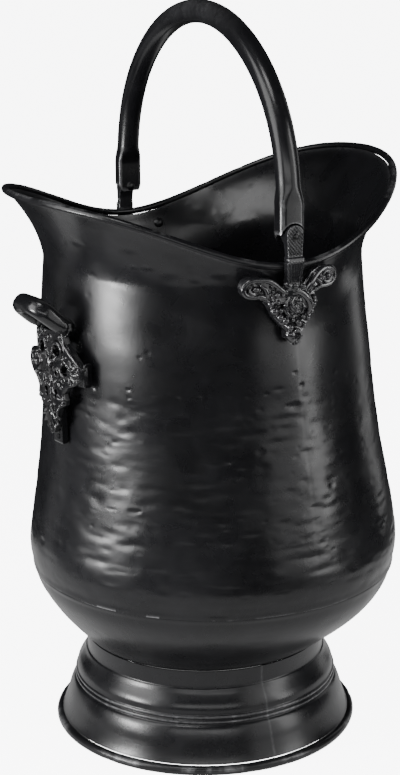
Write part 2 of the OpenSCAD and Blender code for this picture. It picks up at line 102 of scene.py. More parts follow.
def wrap_faces(n, c, close_n=True, close_c=True, base=0):
    """Quads of a grid of n columns with c points each, closed both ways unless told otherwise."""
    j = np.arange(n if close_n else n - 1)
    k = np.arange(c if close_c else c - 1)
    J, K = np.meshgrid(j, k, indexing="ij")
    p = J * c + K
    q = J * c + (K + 1) % c
    r = ((J + 1) % n) * c + K
    s = ((J + 1) % n) * c + (K + 1) % c
    return np.stack([p, r, s, q], -1).reshape(-1, 4) + base


def catmull(points, per):
    """Smooth line through points (k, 2) or (k, 3), with per steps a span."""
    p = np.asarray(points, float)
    e = np.vstack([2 * p[0] - p[1], p, 2 * p[-1] - p[-2]])
    out = []
    for i in range(len(p) - 1):
        a, b, c, d = e[i:i + 4]
        for t in np.arange(per) / per:
            out.append(0.5 * (2 * b + (c - a) * t + (2 * a - 5 * b + 4 * c - d) * t * t
                              + (3 * b - a - 3 * c + d) * t ** 3))
    out.append(p[-1])
    return np.array(out)


def smooth(x):
    """Soft step from 0 to 1 as x goes from 0 to 1."""
    x = np.clip(x, 0, 1)
    return x * x * (3 - 2 * x)


def averaged(x, k):
    """Values round a ring, each averaged with its k neighbours on either side."""
    n = 2 * k + 1
    return np.convolve(np.r_[x[-k:], x, x[:k]], np.ones(n) / n, "same")[k:-k]


def turn_gap(a, b):
    """Signed angle from b to a in degrees."""
    return (a - b + 180) % 360 - 180


# ------------------------ body surface, as in the solids
NECK_R, NECK_Z = 126.7, 392      # straight neck, from this height up
FLARE_H, FLARE_POWER = 57, 1.75  # the flare below the rim
LEAN = 8.2                       # how far the belly sits in front of foot and mouth
LEAN_Z = (78, 122, 185, 395)     # heights where it starts, is full, begins to fade and ends
SHEET = 1.3                      # thickness of barrel and bowl
BEAD_R = 2.9                     # bead round the mouth
SEAM_Z = 139                     # the barrel laps over the bowl here
BARREL_LAP_AT = 275.0            # upright lap of the barrel's sheet, in degrees, below the ear
FLUSH = 0.04                     # the bowl's face lies this far inside the barrel's
BELLY = np.array([[77, 97.4], [92, 116.8], [108, 132.9], [125, 144.2], [142, 149.4], [160, 151.5],
                  [185, 148.2], [215, 143.3], [250, 137.9], [290, 133.6], [335, 131.4], [NECK_Z, NECK_R]])
LAST = len(BELLY) - 1
BELLY_SLOPE = np.array([(BELLY[min(k + 1, LAST), 1] - BELLY[max(k - 1, 0), 1])
                        / (BELLY[min(k + 1, LAST), 0] - BELLY[max(k - 1, 0), 0]) for k in range(LAST + 1)])


def plain_r(z):
    """Radius of the vessel without its flare."""
    z = np.asarray(z, float)
    k = np.clip(np.searchsorted(BELLY[:, 0], z, side="right") - 1, 0, LAST - 1)
    h = BELLY[k + 1, 0] - BELLY[k, 0]
    t = (z - BELLY[k, 0]) / h
    v = ((2 * t**3 - 3 * t**2 + 1) * BELLY[k, 1] + (t**3 - 2 * t**2 + t) * h * BELLY_SLOPE[k]
         + (3 * t**2 - 2 * t**3) * BELLY[k + 1, 1] + (t**3 - t**2) * h * BELLY_SLOPE[k + 1])
    return np.where(z >= NECK_Z, NECK_R, v)


def rim_r(a):
    """Radius of the mouth's rim at angle a, in degrees."""
    a = np.radians(a)
    return 146.5 + 7.4 * np.cos(2 * a) - 2.4 * np.cos(3 * a) - 1.1 * np.cos(4 * a) + 0.9 * np.cos(5 * a)


def rim_z(a):
    """Height of the mouth's rim: a lip in front and behind, low at both sides."""
    a = np.radians(a)
    return 435.9 + 6.4 * np.cos(a) + 26.1 * np.cos(2 * a) + 1.9 * np.cos(3 * a) - 4 * np.cos(4 * a)


def out_r(a, z):
    """Radius of the vessel with its flare."""
    f = (rim_r(a) - NECK_R) * np.maximum(0, 1 - (rim_z(a) - z) / FLARE_H) ** FLARE_POWER
    return plain_r(z) + f


def lean(z):
    """Forward offset of the vessel's axis: none at foot and neck, LEAN at the belly."""
    z = np.asarray(z, float)
    start, full, fade, end = LEAN_Z
    below = LEAN * (1 - (1 - (z - start) / (full - start)) ** 2)
    above = np.where(z < end, LEAN * np.cos(np.radians(90 * (z - fade) / (end - fade))) ** 2, 0)
    return np.where(z < start, 0, np.where(z < full, below, np.where(z < fade, LEAN, above)))


def placed(r, a, z):
    """Points at radius r and angle a round the leaning axis."""
    c, s = np.cos(np.radians(a)), np.sin(np.radians(a))
    return np.stack([lean(z) + r * c, r * s, z + 0 * r], -1)


# ------------------------ hammer marks
rng = np.random.default_rng(20)
MARK_R = 140        # radius at which lengths along the wall are taken
SWELL, INSET = 0.4, 0.12    # mean depth of the waves in the sheet, and the least depth everywhere
marks = []          # angle, height, half width along, half height, depth, and 1 for a sharp edge


def band(z0, z1, pitch, step, size, depth, keep=1.0, sharp=0.0):
    """Rows of marks from z0 to z1, pitch apart, one every step along the wall of which a share is kept."""
    z = z0
    while z < z1:
        shift = rng.uniform(0, step)
        n = int(2 * math.pi * MARK_R / step)
        for i in range(n):
            if rng.random() > keep:
                continue
            s = shift + i * step + rng.normal(0, step * 0.28)
            marks.append((math.degrees(s / MARK_R), z + rng.normal(0, pitch * 0.22),
                          size[0] * rng.uniform(0.6, 1.5), size[1] * rng.uniform(0.7, 1.4),
                          depth * rng.uniform(0.2, 1.3), 1 if rng.random() < sharp else 0))
        z += pitch * rng.uniform(0.85, 1.15)


band(146, 304, 9.0, 17, (8.2, 3.3), 0.30, 0.85, 0.1)
band(143, 220, 5.6, 11, (4.4, 1.8), 0.13, 0.6, 0.5)
band(220, 312, 9.0, 15, (4.2, 2.1), 0.17, 0.55, 0.5)
band(310, 311, 9.0, 13, (2.7, 1.7), 0.42, 0.75, 0.8)
band(396, 424, 7.5, 15, (6.0, 3.2), 0.30, 0.62, 0.4)
band(300, 398, 24, 44, (17, 8), 0.20, 0.5)
band(82, 136, 9, 26, (9, 3.4), 0.12, 0.6)
for _ in range(70):      # single sharp nicks
    marks.append((rng.uniform(0, 360), rng.uniform(150, 425), rng.uniform(2.0, 4.4),
                  rng.uniform(1.2, 2.4), rng.uniform(0.15, 0.42), 1))
# slow waves: turns round the wall, phase, radians per mm of height, phase, depth
waves = [(rng.integers(2, 9), rng.uniform(0, 360), rng.uniform(0.018, 0.07), rng.uniform(0, 6.3),
          rng.uniform(0.04, 0.13)) for _ in range(26)]


def dented(a, z):
    """Depth pressed into the sheet at the columns a (n,) and heights z (n, m)."""
    d = np.zeros_like(z)
    for a0, z0, hs, hz, depth, kind in marks:
        ds = np.radians(turn_gap(a, a0)) * MARK_R
        cols = np.nonzero(np.abs(ds) < (1.05 if kind else 2.6) * hs)[0]
        if not len(cols):
            continue
        q = (ds[cols, None] / hs) ** 2 + ((z[cols] - z0) / hz) ** 2
        d[cols] += depth * (np.maximum(0, 1 - q) ** 1.5 if kind else np.exp(-q))
    swell = np.full_like(z, SWELL)
    for n, ph, kz, pz, amp in waves:
        swell += amp * np.cos(np.radians(n * a + ph))[:, None] * np.sin(kz * z + pz)
    return d + INSET + np.maximum(swell, 0)


# ------------------------ barrel
def sheet_barrel():
    """The wall from the lap seam up to the bead, both faces, with its marks and its upright lap."""
    NA, NZ, NI = 640, 256, 120       # columns, rows outside, rows inside
    a = 360 * np.arange(NA) / NA
    slope = FLARE_POWER * (rim_r(a) - NECK_R) / FLARE_H
    top = rim_z(a) - (BEAD_R + 0.25) / np.sqrt(1 + slope ** 2)
    edge = SEAM_Z + 0.35 * np.sin(np.radians(a * 3 + 40)) * np.sin(np.radians(a * 7)) + 0.35

    def rows(n):
        u = np.linspace(0, 1, n)[None, :]
        z = edge[:, None] + (top - edge)[:, None] * u
        return out_r(a[:, None], z), z

    def off(r, z, t):
        """The face moved inwards by t."""
        m = np.gradient(r, axis=1) / np.gradient(z, axis=1)
        w = np.sqrt(1 + m * m)
        return r - t / w, z + t * m / w

    def marked(z):
        return dented(a, z) * smooth((z - edge[:, None]) / 5) * smooth((top[:, None] - z) / 10)

    r, z = rows(NZ)
    seam = turn_gap(a, BARREL_LAP_AT)[:, None]
    lap = np.where(seam >= 0, 0.07 * np.exp(-seam / 1.6), 0) * smooth((414 - z) / 12)
    ro, zo = off(r, z, marked(z) + lap)
    ri, zi = rows(NI)
    ri, zi = off(ri, zi, marked(zi) + SHEET)
    ro[:, 0] -= 0.05                              # the cut edge is slightly broken
    R = np.concatenate([ro, ri[:, ::-1]], 1)
    Z = np.concatenate([zo, zi[:, ::-1]], 1)
    P = placed(R, a[:, None], Z)
    # bright chips of bare metal on the cut lower edge, faint wear elsewhere on it; the first two chips also paint
    # a highlight along the lap edge
    chips_and_highlight = np.zeros_like(R)
    low = np.exp(-((Z - edge[:, None]) / 0.8) ** 2)
    for a0, a1 in ((205.6, 212.6), (222.6, 226.2), (318, 321), (48, 55), (121, 126)):
        mid, half = (a0 + a1) / 2, (a1 - a0) / 2
        chips_and_highlight += low * (np.abs(turn_gap(a, mid)) < half)[:, None]
    rub = rng.random(NA)
    rub = np.convolve(np.r_[rub, rub[:12]], np.ones(9) / 9, "same")[:NA]
    chips_and_highlight += low * (smooth((rub - 0.52) / 0.12) * 0.18)[:, None]
    top_wear = np.exp(-((Z - top[:, None]) / 1.2) ** 2) * 0.12
    ob = mesh_object("barrel_sheet", P.reshape(-1, 3), wrap_faces(NA, R.shape[1]),
                     (chips_and_highlight + top_wear).ravel(), 48)
    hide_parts("barrel")
    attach(ob, "vessel")
    return ob


def sheet_bowl():
    """The bowl with its floor, both faces, up to the neck that goes inside the barrel."""
    NA = 512
    a = 360 * np.arange(NA) / NA
    low = catmull([[0, 70.5], [30, 70.5], [60, 70.5], [80, 71.2], [90, 73.2], [97.3, 77]], 9)[1:]
    zz = np.linspace(78, 138.9, 63)
    flank = np.stack([plain_r(zz) - FLUSH, zz], 1)
    zt = np.r_[139.3, 139.8, 140.6, np.linspace(141.5, 147.5, 7)]
    neck = np.stack([plain_r(zt) - FLUSH - 1.5 * smooth((zt - 138.8) / 2.4), zt], 1)
    prof = np.vstack([low, flank, neck])
    m = np.gradient(prof, axis=0)
    n = np.stack([m[:, 1], -m[:, 0]], 1) / np.hypot(m[:, 0], m[:, 1])[:, None]
    inner = prof - n * SHEET
    r = np.tile(prof[:, 0], (NA, 1))
    z = np.tile(prof[:, 1], (NA, 1))
    d = dented(a, z) * smooth((z - 82) / 8) * smooth((138.5 - z) / 4)
    r = r - d * n[:, 0]
    z = z + d * np.abs(n[:, 1])
    ri = np.tile(inner[:, 0], (NA, 1)) - d * n[:, 0]
    zi = np.tile(inner[:, 1], (NA, 1)) + d * np.abs(n[:, 1])
    R = np.concatenate([r, ri[:, ::-1]], 1)
    Z = np.concatenate([z, zi[:, ::-1]], 1)
    P = placed(R, a[:, None], Z).reshape(-1, 3)
    c = R.shape[1]
    faces = wrap_faces(NA, c, close_c=False)
    # the floor closes on one point below and one above
    P = np.vstack([P, [[0, 0, 70.5], [0, 0, 71.8]]])
    j = np.arange(NA)
    under = np.stack([np.full(NA, len(P) - 2), ((j + 1) % NA) * c, j * c], 1)
    over = np.stack([np.full(NA, len(P) - 1), j * c + c - 1, ((j + 1) % NA) * c + c - 1], 1)
    ob = mesh_object("bowl_sheet", P, [faces, under, over], np.zeros(len(P)), 48)
    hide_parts("bowl")
    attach(ob, "vessel")
    return ob


def rim_bead():
    """The bead that runs round the mouth, with its nicks."""
    NA, NB = 720, 28
    a = 360 * np.arange(NA) / NA
    b = 360 * np.arange(NB) / NB
    A, B = a[:, None], np.radians(b)[None, :]
    rr = BEAD_R - 0.10 * (1 + np.sin(np.radians(A * 5 + 30)) * np.sin(np.radians(A * 13)))
    # a shallow groove where the rolled edge meets the sheet inside
    rr = rr - 0.30 * np.exp(-((np.degrees(B) - 205) / 12) ** 2)
    small = np.zeros(NA)
    for _ in range(60):
        deep = rng.uniform(0.03, 0.16)
        small += deep * np.exp(-(turn_gap(a, rng.uniform(0, 360)) / rng.uniform(0.5, 1.8)) ** 2)
    rr = rr - small[:, None] * (0.5 + 0.5 * np.cos(B - 1.2))
    R = rim_r(A) + rr * np.cos(B)
    Z = rim_z(A) + rr * np.sin(B)
    P = np.stack([R * np.cos(np.radians(A)), R * np.sin(np.radians(A)), Z], -1).reshape(-1, 3)
    worn = averaged(rng.random(NA), 10)
    wear = smooth((worn - 0.5) / 0.14)[:, None] * np.exp(-((np.degrees(B) - 80) / 38) ** 2) * 0.5
    ob = mesh_object("rim_bead", P, wrap_faces(NA, NB), wear.ravel())
    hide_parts("rim_wire")
    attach(ob, "vessel")
    return ob


# ------------------------ foot
LAP_AT = 270.0                   # upright lap of the foot's sheet, in degrees
LAP_DEEP = 0.22                  # step in the sheet at the lap
FOOT_SHEET = 1.4
FOOT_MEAN_R = 112
HEM_R, HEM_AT = 3.9, (121.5, 3.4)
FOOT = [[98.8, 76.9], [98.6, 64.5], [99.8, 62], [101.2, 58.8], [103.3, 55.2], [105.5, 51.7],
        [107, 48.1], [107.6, 44.2], [108.4, 43.2], [108.8, 42.1], [108.4, 41], [107.9, 40.2],
        [108.9, 39.3], [109.4, 38.2], [108.9, 37.1], [108.4, 36.2], [110.3, 34.4], [112.1, 31],
        [114, 26], [115.8, 20], [117.8, 14], [119.4, 10], [120.6, 7.6]]


def foot_columns(n=560):
    """Angles round the foot, with two columns close together at the upright lap."""
    return LAP_AT + np.r_[0.02, np.linspace(0.25, 359.75, n - 2), 359.98]


def skirt():
    """The flared sheet of the foot with its neck and its two pressed beads."""
    a = foot_columns()
    NA = len(a)
    prof = catmull(FOOT, 7)
    NP = len(prof)
    m = np.gradient(prof, axis=0)
    n = np.stack([-m[:, 1], m[:, 0]], 1) / np.hypot(m[:, 0], m[:, 1])[:, None]
    rel = (a - LAP_AT) % 360
    lap = LAP_DEEP * np.exp(-rel / 3.0)                # sinks away to one side of the lap
    wob = (0.16 * (1 + np.sin(np.radians(a * 4 + 20))) * 0.5
           + 0.10 * (1 + np.sin(np.radians(a * 9 + 70))) * 0.5)
    dent = np.zeros((NA, NP))
    for _ in range(46):
        a0, z0 = rng.uniform(0, 360), rng.uniform(9, 60)
        hs, hz, dep = rng.uniform(6, 20), rng.uniform(3, 9), rng.uniform(0.04, 0.2)
        ds = np.radians(turn_gap(a, a0)) * FOOT_MEAN_R
        dent += dep * np.exp(-(ds[:, None] / hs) ** 2 - ((prof[None, :, 1] - z0) / hz) ** 2)
    d = dent + (lap + wob)[:, None]
    r = prof[None, :, 0] - d * n[None, :, 0]
    z = np.tile(prof[:, 1], (NA, 1)) - d * n[None, :, 1] * 0.3
    ri = prof[None, :, 0] - FOOT_SHEET - d
    zi = np.tile(prof[:, 1], (NA, 1))
    R = np.concatenate([r[:, ::-1], ri], 1)
    Z = np.concatenate([z[:, ::-1], zi], 1)
    A = a[:, None]
    P = np.stack([R * np.cos(np.radians(A)), R * np.sin(np.radians(A)), Z], -1).reshape(-1, 3)
    # wear on the crests of the two pressed beads and at the lap; the bright line on the crests is also a painted
    # highlight
    crest_wear_and_highlight = np.zeros_like(R)
    for rc, zc in ((108.8, 42.1), (109.4, 38.2)):
        crest_wear_and_highlight += 0.34 * np.exp(-((Z - zc) / 0.7) ** 2) * (R > rc - 1.2)
    noise = averaged(rng.random(NA), 6)
    crest_wear_and_highlight *= (0.5 + smooth((noise - 0.45) / 0.12))[:, None]
    near_lap = np.minimum(rel, 360 - rel)
    crest_wear_and_highlight += 0.16 * np.exp(-(near_lap / 0.35) ** 2)[:, None]
    ob = mesh_object("foot_skirt", P, wrap_faces(NA, R.shape[1]), crest_wear_and_highlight.ravel(), 60)
    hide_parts("foot_ring")
    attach(ob, "vessel")
    return ob


def hem():
    """The rolled hem under the foot, flat where it stands."""
    a = foot_columns()
    NA, NB = len(a), 40
    b = 360 * np.arange(NB) / NB
    A, B = a[:, None], np.radians(b)[None, :]
    rel = (a - LAP_AT) % 360
    rr = HEM_R - LAP_DEEP * np.exp(-rel / 3.0)[:, None] - 0.06 * (1 + np.sin(np.radians(A * 6 + 15)))
    for _ in range(40):
        nick = rng.uniform(0.03, 0.2) * np.exp(-(turn_gap(A, rng.uniform(0, 360)) / rng.uniform(0.6, 2.4)) ** 2)
        rr = rr - nick * (0.5 + 0.5 * np.cos(B - rng.uniform(-0.4, 1.2)))
    R = HEM_AT[0] + rr * np.cos(B)
    Z = np.maximum(HEM_AT[1] + rr * np.sin(B), 0.0)
    P = np.stack([R * np.cos(np.radians(A)), R * np.sin(np.radians(A)), Z], -1).reshape(-1, 3)
    worn = averaged(rng.random(NA), 8)
    wear = smooth((worn - 0.48) / 0.14)[:, None] * np.exp(-((np.degrees(B) - 30) / 40) ** 2) * 0.4
    ob = mesh_object("foot_roll", P, wrap_faces(NA, NB), wear.ravel(), 50)
    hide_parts("foot_hem")
    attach(ob, "vessel")
    return ob


# ------------------------ bail
# centre line: an arc over the top, a closer arc down each side, then straight down into the channel
TUBE_R, TUBE_WALL = 9.1, 1.4
TOP_R, TOP_A, TOP_Z, SIDE_R, END_A = 140.5, 50.5, 439.9, 121.5, 84.0
SIDE_Y = (TOP_R - SIDE_R) * math.sin(math.radians(TOP_A))
SIDE_Z = TOP_Z + (TOP_R - SIDE_R) * math.cos(math.radians(TOP_A))
END_Y = SIDE_Y + SIDE_R * math.sin(math.radians(END_A))
END_Z = SIDE_Z + SIDE_R * math.cos(math.radians(END_A))
# channel: inner and outer face, half width, top, and the height of the hinge pin
CH_IN, CH_OUT, CH_W, CH_TOP, PIVOT = 131.8, 144.6, 10.2, 449.0, 428.3
ARCH_R = 9.6                     # cut round the lug in the channel's outer face
INNER_LOW, FLANK_LOW = 424.6, 429.6    # lower edges of its inner face and of its sides
CROWN = 0.35                     # the outer face is this much higher in the middle


def box_ray(b, hx, hy, rc):
    """Distance from the centre to a rounded rectangle in direction b."""
    c, s = np.abs(np.cos(b)), np.abs(np.sin(b))
    with np.errstate(divide="ignore"):
        t = np.minimum(np.where(c > 1e-9, hx / np.maximum(c, 1e-9), 1e9),
                       np.where(s > 1e-9, hy / np.maximum(s, 1e-9), 1e9))
    x, y = t * c, t * s
    inx, iny = x > hx - rc, y > hy - rc
    cx, cy = hx - rc, hy - rc
    bb = c * cx + s * cy
    disc = np.maximum(bb * bb - (cx * cx + cy * cy - rc * rc), 0)
    return np.where(inx & iny, bb + np.sqrt(disc), t)


def bail_tube():
    """The whole bail: tube with a wall, and an open channel with its arched cut at each end."""
    NB = 128
    b = 2 * np.pi * (np.arange(NB) + 0.5) / NB
    yc = (CH_IN + CH_OUT) / 2
    hx1, hy1 = CH_W, (CH_OUT - CH_IN) / 2

    def leg(depth):
        """Rings from the low edge of the channel up to the middle of the top, shrunk by depth."""
        rings = []
        # channel, each column from its own low edge up
        hx, hy = hx1 - depth, hy1 - depth
        corner = np.where(np.sin(b) > 0, 4.6, 2.2)
        ray = box_ray(b, hx, hy, corner - 0.8 * depth)
        x, y = ray * np.cos(b), ray * np.sin(b)
        arch = (y > 1.0) & (np.abs(x) < ARCH_R)
        inner = y < -hy + 1.8
        low = np.where(arch, PIVOT + np.sqrt(np.maximum(ARCH_R ** 2 - x ** 2, 0)),
                       np.where(inner, INNER_LOW + 5.0 * smooth((np.abs(x) - 7.2) / 3.0),
                                FLANK_LOW - 0.4 * smooth(-y / hy)))
        for u in np.linspace(0, 1, 12)[:-1]:
            z = low + (CH_TOP - low) * u
            crown = CROWN * (1 - (x / hx) ** 2) * (y > 0) - CROWN
            rings.append(np.stack([x, yc + y + np.minimum(crown, 0) * (y > 0), z], 1))
        # neck: the flat channel rounds into the tube
        for t in np.linspace(1, 0, 30)[:-1]:
            w = smooth(t)
            hx = TUBE_R + (CH_W - TUBE_R) * w - depth
            hy = TUBE_R + (hy1 - TUBE_R) * w - depth
            rc = corner + (TUBE_R - corner) * (1 - w) ** 1.3 - 0.8 * depth * w - depth * (1 - w)
            ray = box_ray(b, hx, hy, np.minimum(rc, min(hx, hy) - 0.01))
            if t < 0.02:
                ray = np.full(NB, TUBE_R - depth)
            x, y = ray * np.cos(b), ray * np.sin(b)
            lift = math.radians(90 - END_A) * (1 - t)
            cy = END_Y + (yc - END_Y) * t
            cz = END_Z + (CH_TOP - END_Z) * t
            y = y + np.minimum(CROWN * (1 - (x / hx) ** 2) - CROWN, 0) * (y > 0) * w
            rings.append(np.stack([x, cy + y * math.cos(lift), cz + y * math.sin(lift)], 1))
        # side arc and half of the top arc
        path = []
        for g in np.linspace(END_A, TOP_A, 46)[:-1]:
            q = math.radians(g)
            path.append((SIDE_Y + SIDE_R * math.sin(q), SIDE_Z + SIDE_R * math.cos(q), q))
        for g in np.linspace(TOP_A, 0, 62):
            q = math.radians(g)
            path.append((TOP_R * math.sin(q), TOP_Z + TOP_R * math.cos(q), q))
        for py, pz, q in path:
            r = TUBE_R - depth
            x, y = r * np.cos(b), r * np.sin(b)
            rings.append(np.stack([x, py + y * math.sin(q), pz + y * math.cos(q)], 1))
        return np.array(rings)

    def whole(depth):
        near = leg(depth)
        far = near.copy()
        far[:, :, 1] *= -1
        return np.concatenate([near, far[::-1][1:]], 0)

    outer, inner = whole(0.0), whole(TUBE_WALL)
    # small rubs and flats along the tube
    ring_at = np.arange(len(outer))
    cen = outer.mean(1, keepdims=True)
    rad = outer - cen
    dep = np.zeros(outer.shape[:2])
    for _ in range(90):
        i0, b0 = rng.uniform(30, len(outer) - 30), rng.uniform(0, 2 * np.pi)
        hi, hb, am = rng.uniform(1.5, 7), rng.uniform(0.12, 0.6), rng.uniform(0.02, 0.12)
        gap = np.abs((b - b0 + np.pi) % (2 * np.pi) - np.pi)
        dep += am * np.exp(-((ring_at - i0) / hi) ** 2)[:, None] * np.exp(-(gap / hb) ** 2)[None, :]
    length = np.linalg.norm(rad, axis=2, keepdims=True)
    outer = cen + rad * (1 - dep[:, :, None] / length)
    n = len(outer)
    P = np.concatenate([outer.reshape(-1, 3), inner.reshape(-1, 3)])
    f_out = wrap_faces(n, NB, close_n=False)
    f_in = wrap_faces(n, NB, close_n=False, base=n * NB)[:, ::-1]
    k = np.arange(NB)
    k1 = (k + 1) % NB
    o = n * NB
    e0 = np.stack([k, k1, o + k1, o + k], 1)
    e1 = np.stack([(n - 1) * NB + k1, (n - 1) * NB + k, o + (n - 1) * NB + k, o + (n - 1) * NB + k1], 1)
    # wear: at both ends, on top where it is carried, and along the channel's corners
    wear = np.zeros((n, NB))
    edge = np.minimum(ring_at, n - 1 - ring_at)
    wear += 0.5 * np.exp(-(edge / 0.8) ** 2)[:, None]
    body = averaged(rng.random(n), 9)
    grip = np.exp(-((ring_at - n / 2) / 26) ** 2) * 0.12
    wear += (grip[:, None] * (0.5 + 0.5 * np.sin(b))[None, :]) * smooth((body - 0.4) / 0.2)[:, None]
    corner = (np.abs(np.abs(np.degrees(b) % 180 - 90) - 58) < 6)[None, :] * smooth((33 - edge) / 18)[:, None]
    wear += 0.3 * corner * smooth((body - 0.42) / 0.1)[:, None]
    W = np.concatenate([wear.ravel(), np.zeros(n * NB)])
    ob = mesh_object("bail_tube", P, [f_out, f_in, e0, e1], W, 42)
    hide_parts("bail")
    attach(ob, "bail")
    return ob


# ------------------------ cast pieces
def ball(c, r, n=8):
    """Closed ball, or egg with three radii, round c."""
    th = np.pi * np.arange(1, n) / n
    ph = 2 * np.pi * np.arange(2 * n) / (2 * n)
    T, F = np.meshgrid(th, ph, indexing="ij")
    V = np.stack([np.sin(T) * np.cos(F), np.sin(T) * np.sin(F), np.cos(T)], -1).reshape(-1, 3)
    V = np.vstack([V, [[0, 0, 1], [0, 0, -1]]]) * np.broadcast_to(r, 3) + np.asarray(c, float)
    m = 2 * n
    F = []
    for i in range(n - 2):
        for j in range(m):
            a, b, c0, d = i * m + j, (i + 1) * m + j, (i + 1) * m + (j + 1) % m, i * m + (j + 1) % m
            F += [(a, b, c0), (a, c0, d)]
    top, low, last = len(V) - 2, len(V) - 1, (n - 2) * m
    F += [(top, j, (j + 1) % m) for j in range(m)]
    F += [(low, last + (j + 1) % m, last + j) for j in range(m)]
    return V, np.array(F)


def rope(points, radii, n=10, per=5):
    """Closed round bar with rounded ends along a smooth line in space, with its radii along it."""
    c = catmull(points, per)
    r = np.interp(np.linspace(0, 1, len(c)), np.linspace(0, 1, len(radii)), radii)
    t = np.gradient(c, axis=0)
    t /= np.linalg.norm(t, axis=1)[:, None]
    c = np.vstack([c[0] - t[0] * r[0] * 0.7, c, c[-1] + t[-1] * r[-1] * 0.7])
    t = np.vstack([t[0], t, t[-1]])
    r = np.r_[r[0] * 0.7, r, r[-1] * 0.7]
    side = np.cross(t, [0, 0, 1.0])
    side /= np.linalg.norm(side, axis=1)[:, None] + 1e-9
    other = np.cross(side, t)
    b = 2 * np.pi * np.arange(n) / n
    V = (c[:, None] + r[:, None, None] * (side[:, None] * np.cos(b)[None, :, None]
         + other[:, None] * np.sin(b)[None, :, None])).reshape(-1, 3)
    ends = np.vstack([c[0] - t[0] * r[0] * 0.4, c[-1] + t[-1] * r[-1] * 0.4])
    m = len(c)
    V = np.vstack([V, ends])
    q = wrap_faces(m, n, close_n=False)
    F = np.concatenate([q[:, [0, 1, 2]], q[:, [0, 2, 3]]])
    j = np.arange(n)
    F = np.concatenate([F, np.stack([np.full(n, m * n), j, (j + 1) % n], 1),
                        np.stack([np.full(n, m * n + 1), (m - 1) * n + (j + 1) % n, (m - 1) * n + j], 1)])
    vol = np.einsum("ij,ij->i", V[F[:, 0]], np.cross(V[F[:, 1]], V[F[:, 2]])).sum()
    return V, F if vol > 0 else F[:, ::-1]


def curl(c, r, a0, a1, thick, turns_in=0.0):
    """Open ring or spiral round c in the plane of the face, from angle a0 to a1."""
    a = np.radians(np.linspace(a0, a1, max(5, int(abs(a1 - a0) / 28) + 1)))
    k = np.linspace(0, 1, len(a))
    q = r * (1 - turns_in * k)
    return rope(np.stack([c[0] + q * np.cos(a), c[1] + q * np.sin(a), c[2] + 0 * a], 1), thick)


def fan(c, spread, length, thick, n, aim):
    """n ribs spread from one point, the middle one the longest."""
    out = []
    for g in np.radians(aim + np.linspace(-spread / 2, spread / 2, n)):
        L = length * (0.82 + 0.18 * math.cos((g - math.radians(aim)) * 1.6))
        path = [(c[0] + math.cos(g) * L * k, c[1] + math.sin(g) * L * k,
                 c[2] + 0.5 * math.sin(3 * k) - 0.9 * k * k) for k in (0.12, 0.45, 0.8, 1.0)]
        out.append(rope(path, [thick * 0.6, thick, thick * 0.95, thick * 0.6], 8, 3))
    return out


def fused(node, relief, place, voxel, rounds=2, base=True):
    """The node's solids and the relief laid on them, fused and smoothed as one casting (mm).

    base=False leaves the solids out. Returns the points, the quads and a function for the mean of each
    point's neighbours.
    """
    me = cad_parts[node].data
    co = np.empty(len(me.vertices) * 3)
    me.vertices.foreach_get("co", co)
    me.calc_loop_triangles()
    tri = np.empty(len(me.loop_triangles) * 3, np.int32)
    me.loop_triangles.foreach_get("vertices", tri)
    V, F = ([co.reshape(-1, 3) / MM], [tri.reshape(-1, 3)]) if base else ([], [])
    n = len(V[0]) if base else 0
    for v, f in relief:
        V.append(place(v))
        F.append(f + n)
        n += len(v)
    ob = mesh_object("raw_" + node, np.vstack(V), np.vstack(F))
    mod = ob.modifiers.new("fuse", "REMESH")
    mod.mode = "VOXEL"
    mod.voxel_size = voxel * MM
    dg = bpy.context.evaluated_depsgraph_get()
    got = ob.evaluated_get(dg)
    me = got.to_mesh()
    co = np.empty(len(me.vertices) * 3)
    me.vertices.foreach_get("co", co)
    tri = np.empty(len(me.loops), np.int32)
    me.loops.foreach_get("vertex_index", tri)
    V, Q = co.reshape(-1, 3) / MM, tri.reshape(-1, 4)
    got.to_mesh_clear()
    raw = ob.data
    bpy.data.objects.remove(ob)
    bpy.data.meshes.remove(raw)
    E = np.concatenate([Q[:, [0, 1]], Q[:, [1, 2]], Q[:, [2, 3]], Q[:, [3, 0]]])
    count = np.bincount(E.ravel(), minlength=len(V)).astype(float)[:, None]

    def mean(x):
        out = np.stack([np.bincount(E[:, 0], x[E[:, 1], k], len(V))
                        + np.bincount(E[:, 1], x[E[:, 0], k], len(V)) for k in range(x.shape[1])], 1)
        return out / np.maximum(count, 1)

    # smoothed without shrinking: in, then back out
    for _ in range(rounds):
        V = V + 0.5 * (mean(V) - V)
        V = V - 0.52 * (mean(V) - V)
    return V, Q, mean


def proud_wear_and_sheen(V, Q, mean, voxel, gain):
    """How far each point stands proud of its surroundings, 0 to 1, as wear on proud edges; on the ears it also
    paints highlights on the ridges.
    """
    N = np.zeros_like(V)
    face = np.cross(V[Q[:, 2]] - V[Q[:, 0]], V[Q[:, 3]] - V[Q[:, 1]])
    for k in range(4):
        for c in range(3):
            N[:, c] += np.bincount(Q[:, k], face[:, c], len(V))
    N /= np.linalg.norm(N, axis=1)[:, None] + 1e-12
    U = V.copy()
    for _ in range(5):
        U = mean(U)
    proud = np.einsum("ij,ij->i", V - U, N)[:, None] / voxel
    proud = mean(mean(proud))[:, 0]
    return gain * smooth((proud - 0.12) / 0.6)


def casting(name, node, V, Q, wear):
    """The visible casting that takes the place of a node."""
    ob = mesh_object(name, V, Q, wear)
    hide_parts(node)
    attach(ob, "vessel")
    return ob


# ---- ears: s along the wall, z up, h from the axis
LUG_R = 146.6                    # front of the lug
EAR_R = 144.0                    # radius at which s is measured
EAR_VOXEL = 0.34


def on_ear(P):
    """From (s, z, h) to the near side of the vessel."""
    q = P[:, 0] / EAR_R
    return np.stack([P[:, 2] * np.sin(q), -P[:, 2] * np.cos(q), P[:, 1]], 1)


def bold(points, radii):
    """A rope for the ears, a little thicker and higher than its numbers say."""
    return rope([(x, z, h + 0.2) for x, z, h in points], [1.28 * r for r in radii])


